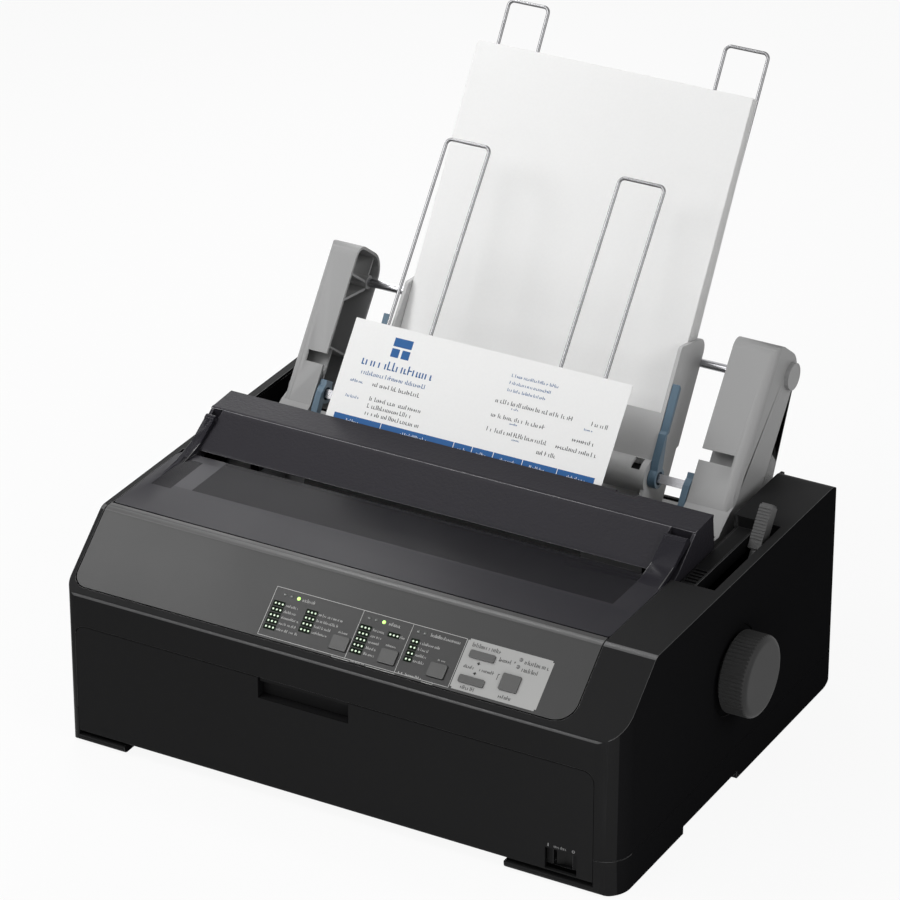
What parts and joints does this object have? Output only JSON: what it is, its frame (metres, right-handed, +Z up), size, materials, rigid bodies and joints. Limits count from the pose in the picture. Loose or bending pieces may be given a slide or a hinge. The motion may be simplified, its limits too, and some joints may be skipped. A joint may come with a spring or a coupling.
{
  "type": "dot matrix printer",
  "caption": "Narrow-carriage dot matrix printer with sloped control panel, platen knob, smoked cover and a cut-sheet feeder holding a stack of paper.",
  "frame": {"origin": "middle of the footprint, at the bottom of the rubber feet", "axes": "+X towards the platen knob on the right, +Y towards the rear, +Z up"},
  "size_m": [0.431, 0.4466, 0.3899],
  "materials": {
    "case_black": "fine textured black plastic",
    "foot_rubber": "dark rubber",
    "panel_grey": "satin dark grey plastic",
    "board_green": "green circuit board",
    "supply_board": "brown circuit board with its parts",
    "button_grey": "satin grey plastic",
    "switch_black": "glossy black plastic",
    "cover_smoke": "smoked plastic",
    "hump_grey": "textured dark grey plastic",
    "socket_black": "black plastic with metal contacts",
    "chassis_steel": "zinc plated sheet steel",
    "shaft_steel": "ground steel",
    "gear_white": "natural nylon",
    "knob_grey": "satin dark grey plastic",
    "motor_steel": "plated motor can",
    "carriage_black": "glass filled black plastic",
    "head_metal": "die cast head with cooling fins",
    "cartridge_black": "black plastic with an inked ribbon",
    "ribbon_knob_grey": "grey plastic",
    "lever_dark": "dark grey plastic",
    "feeder_grey": "light grey plastic",
    "wire_steel": "bright wire",
    "lever_blue": "steel blue plastic",
    "sheet_white": "plain white paper",
    "form_white": "printed paper"
  },
  "bodies": {
    "case": {"lower_case": "case_black", "upper_case": "case_black", "rubber_feet": "foot_rubber", "control_panel": "panel_grey", "panel_board": "board_green", "tear_off_cover": "hump_grey", "rear_sockets": "socket_black", "chassis_frame": "chassis_steel", "paper_feed_motor": "motor_steel", "carriage_rod": "shaft_steel", "ribbon_cartridge": "cartridge_black", "carriage_belt": "foot_rubber", "carriage_motor": "motor_steel", "main_board": "board_green", "power_supply": "supply_board", "paper_guide": "carriage_black", "feeder_arm_right": "feeder_grey", "feeder_arm_left": "feeder_grey", "upper_shaft": "shaft_steel", "feeder_beam": "feeder_grey", "paper_stacker": "wire_steel", "paper_stack": "sheet_white"},
    "door": {"front_door": "case_black"},
    "rocker": {"power_rocker": "switch_black"},
    "cover": {"front_cover": "cover_smoke"},
    "platen": {"platen_roller": "foot_rubber", "platen_shaft": "shaft_steel", "platen_gear": "gear_white", "platen_knob": "knob_grey"},
    "idler": {"idler_gear": "gear_white"},
    "feeder_idler": {"feeder_idler_gear": "gear_white"},
    "feed_drive": {"feed_shaft": "shaft_steel", "feed_gear": "gear_white"},
    "pinion": {"motor_pinion": "gear_white"},
    "head_carriage": {"carriage": "carriage_black", "print_head": "head_metal"},
    "ribbon_drive": {"ribbon_knob": "ribbon_knob_grey"},
    "belt_drive": {"drive_pulley": "gear_white"},
    "belt_idler": {"idler_pulley": "gear_white"},
    "bail": {"paper_bail": "shaft_steel"},
    "bail_roller_set": {"bail_rollers": "foot_rubber"},
    "release": {"release_lever": "lever_dark"},
    "thickness": {"thickness_lever": "lever_dark"},
    "hopper_r": {"hopper_right": "feeder_grey"},
    "hopper_l": {"hopper_left": "feeder_grey"},
    "roller_r": {"feed_roller_right": "foot_rubber"},
    "roller_l": {"feed_roller_left": "foot_rubber"},
    "lock_r": {"lock_lever_right": "lever_blue"},
    "lock_l": {"lock_lever_left": "lever_blue"},
    "base_r": {"base_lever_right": "lever_blue"},
    "base_l": {"base_lever_left": "lever_blue"},
    "support_r": {"sheet_support_right": "wire_steel"},
    "support_l": {"sheet_support_left": "wire_steel"},
    "form": {"printed_form": "form_white"},
    "key_font": {"font_button": "button_grey"},
    "key_pitch": {"pitch_button": "button_grey"},
    "key_tear_off": {"tear_off_button": "button_grey"},
    "key_load": {"load_button": "button_grey"},
    "key_feed": {"feed_button": "button_grey"},
    "key_pause": {"pause_button": "button_grey"}
  },
  "joints": [
    {"name": "platen_turn", "type": "hinge", "parent": "case", "child": "platen", "pos_m": [0.1945, -0.06226, 0.088], "axis": [1, 0, 0], "continuous": true},
    {"name": "idler_turn", "type": "hinge", "parent": "case", "child": "idler", "pos_m": [0.1215, -0.00259, 0.10481], "axis": [1, 0, 0], "continuous": true},
    {"name": "feeder_idler_turn", "type": "hinge", "parent": "case", "child": "feeder_idler", "pos_m": [0.1215, 0.03934, 0.13384], "axis": [1, 0, 0], "continuous": true},
    {"name": "feed_shaft_turn", "type": "hinge", "parent": "case", "child": "feed_drive", "pos_m": [0.1215, 0.04096, 0.15227], "axis": [1, 0, 0], "continuous": true},
    {"name": "pinion_turn", "type": "hinge", "parent": "case", "child": "pinion", "pos_m": [0.1215, -0.04426, 0.05682], "axis": [1, 0, 0], "continuous": true},
    {"name": "carriage_slide", "type": "slide", "parent": "case", "child": "head_carriage", "axis": [1, 0, 0], "range_m": [-0.105, 0.105]},
    {"name": "belt_drive_turn", "type": "hinge", "parent": "case", "child": "belt_drive", "pos_m": [-0.1635, -0.14326, 0.048], "axis": [0, 0, 1], "continuous": true},
    {"name": "belt_idler_turn", "type": "hinge", "parent": "case", "child": "belt_idler", "pos_m": [0.0985, -0.14326, 0.048], "axis": [0, 0, 1], "continuous": true},
    {"name": "ribbon_turn", "type": "hinge", "parent": "case", "child": "ribbon_drive", "pos_m": [-0.1075, -0.14826, 0.115], "axis": [0, 0, 1], "continuous": true},
    {"name": "bail_swing", "type": "hinge", "parent": "case", "child": "bail", "pos_m": [-0.0105, -0.08526, 0.104], "axis": [1, 0, 0], "range_deg": [0, 40]},
    {"name": "bail_roller_turn", "type": "hinge", "parent": "bail", "child": "bail_roller_set", "pos_m": [-0.0105, -0.06274, 0.12645], "axis": [1, 0, 0], "continuous": true},
    {"name": "release_swing", "type": "hinge", "parent": "case", "child": "release", "pos_m": [0.1795, -0.04976, 0.086], "axis": [1, 0, 0], "range_deg": [0, 50]},
    {"name": "thickness_swing", "type": "hinge", "parent": "case", "child": "thickness", "pos_m": [-0.1875, -0.11526, 0.102], "axis": [1, 0, 0], "range_deg": [-25, 0]},
    {"name": "door_swing", "type": "hinge", "parent": "case", "child": "door", "pos_m": [-0.0105, -0.21706, 0.0145], "axis": [1, 0, 0], "range_deg": [0, 90]},
    {"name": "rocker_tilt", "type": "hinge", "parent": "case", "child": "rocker", "pos_m": [0.1539, -0.21426, 0.019], "axis": [0, 0, 1], "range_deg": [-16, 0]},
    {"name": "cover_swing", "type": "hinge", "parent": "case", "child": "cover", "pos_m": [-0.0105, -0.05726, 0.168], "axis": [-1, 0, 0], "range_deg": [0, 100]},
    {"name": "font_press", "type": "slide", "parent": "case", "child": "key_font", "axis": [0, 0.6521, -0.7581], "range_m": [0, 0.001], "stiffness_N_per_m": 800, "springref_m": -0.0004},
    {"name": "pitch_press", "type": "slide", "parent": "case", "child": "key_pitch", "axis": [0, 0.6521, -0.7581], "range_m": [0, 0.001], "stiffness_N_per_m": 800, "springref_m": -0.0004},
    {"name": "tear_off_press", "type": "slide", "parent": "case", "child": "key_tear_off", "axis": [0, 0.6521, -0.7581], "range_m": [0, 0.001], "stiffness_N_per_m": 800, "springref_m": -0.0004},
    {"name": "load_press", "type": "slide", "parent": "case", "child": "key_load", "axis": [0, 0.6521, -0.7581], "range_m": [0, 0.001], "stiffness_N_per_m": 800, "springref_m": -0.0004},
    {"name": "feed_press", "type": "slide", "parent": "case", "child": "key_feed", "axis": [0, 0.6521, -0.7581], "range_m": [0, 0.001], "stiffness_N_per_m": 800, "springref_m": -0.0004},
    {"name": "pause_press", "type": "slide", "parent": "case", "child": "key_pause", "axis": [0, 0.6521, -0.7581], "range_m": [0, 0.001], "stiffness_N_per_m": 800, "springref_m": -0.0004},
    {"name": "hopper_r_slide", "type": "slide", "parent": "case", "child": "hopper_r", "axis": [1, 0, 0], "range_m": [0, 0.018]},
    {"name": "hopper_l_slide", "type": "slide", "parent": "case", "child": "hopper_l", "axis": [1, 0, 0], "range_m": [-0.022, 0]},
    {"name": "roller_r_turn", "type": "hinge", "parent": "hopper_r", "child": "roller_r", "pos_m": [0.0625, 0.04096, 0.15227], "axis": [1, 0, 0], "continuous": true},
    {"name": "roller_l_turn", "type": "hinge", "parent": "hopper_l", "child": "roller_l", "pos_m": [-0.1175, 0.04096, 0.15227], "axis": [1, 0, 0], "continuous": true},
    {"name": "lock_r_swing", "type": "hinge", "parent": "hopper_r", "child": "lock_r", "pos_m": [0.0835, 0.04096, 0.15227], "axis": [1, 0, 0], "range_deg": [0, 25]},
    {"name": "lock_l_swing", "type": "hinge", "parent": "hopper_l", "child": "lock_l", "pos_m": [-0.1385, 0.04096, 0.15227], "axis": [1, 0, 0], "range_deg": [0, 25]},
    {"name": "base_r_swing", "type": "hinge", "parent": "case", "child": "base_r", "pos_m": [0.1085, 0.04096, 0.15227], "axis": [1, 0, 0], "range_deg": [-20, 0]},
    {"name": "base_l_swing", "type": "hinge", "parent": "case", "child": "base_l", "pos_m": [-0.1685, 0.04096, 0.15227], "axis": [1, 0, 0], "range_deg": [-20, 0]},
    {"name": "support_r_slide", "type": "slide", "parent": "hopper_r", "child": "support_r", "axis": [0, 0.5329, 0.8462], "range_m": [-0.05, 0]},
    {"name": "support_l_slide", "type": "slide", "parent": "hopper_l", "child": "support_l", "axis": [0, 0.5329, 0.8462], "range_m": [-0.05, 0]},
    {"name": "form_slide", "type": "slide", "parent": "case", "child": "form", "axis": [0, 0.6157, 0.788], "range_m": [0, 0.05]}
  ],
  "couplings": [
    {"joint": "idler_turn", "follows": "platen_turn", "ratio": -0.63158},
    {"joint": "feeder_idler_turn", "follows": "platen_turn", "ratio": 1.8462},
    {"joint": "feed_shaft_turn", "follows": "platen_turn", "ratio": -4.3636},
    {"joint": "pinion_turn", "follows": "platen_turn", "ratio": -2},
    {"joint": "roller_r_turn", "follows": "platen_turn", "ratio": -4.3636},
    {"joint": "roller_l_turn", "follows": "platen_turn", "ratio": -4.3636},
    {"joint": "belt_drive_turn", "follows": "carriage_slide", "rad_per_m": -125},
    {"joint": "belt_idler_turn", "follows": "carriage_slide", "rad_per_m": -125}
  ]
}
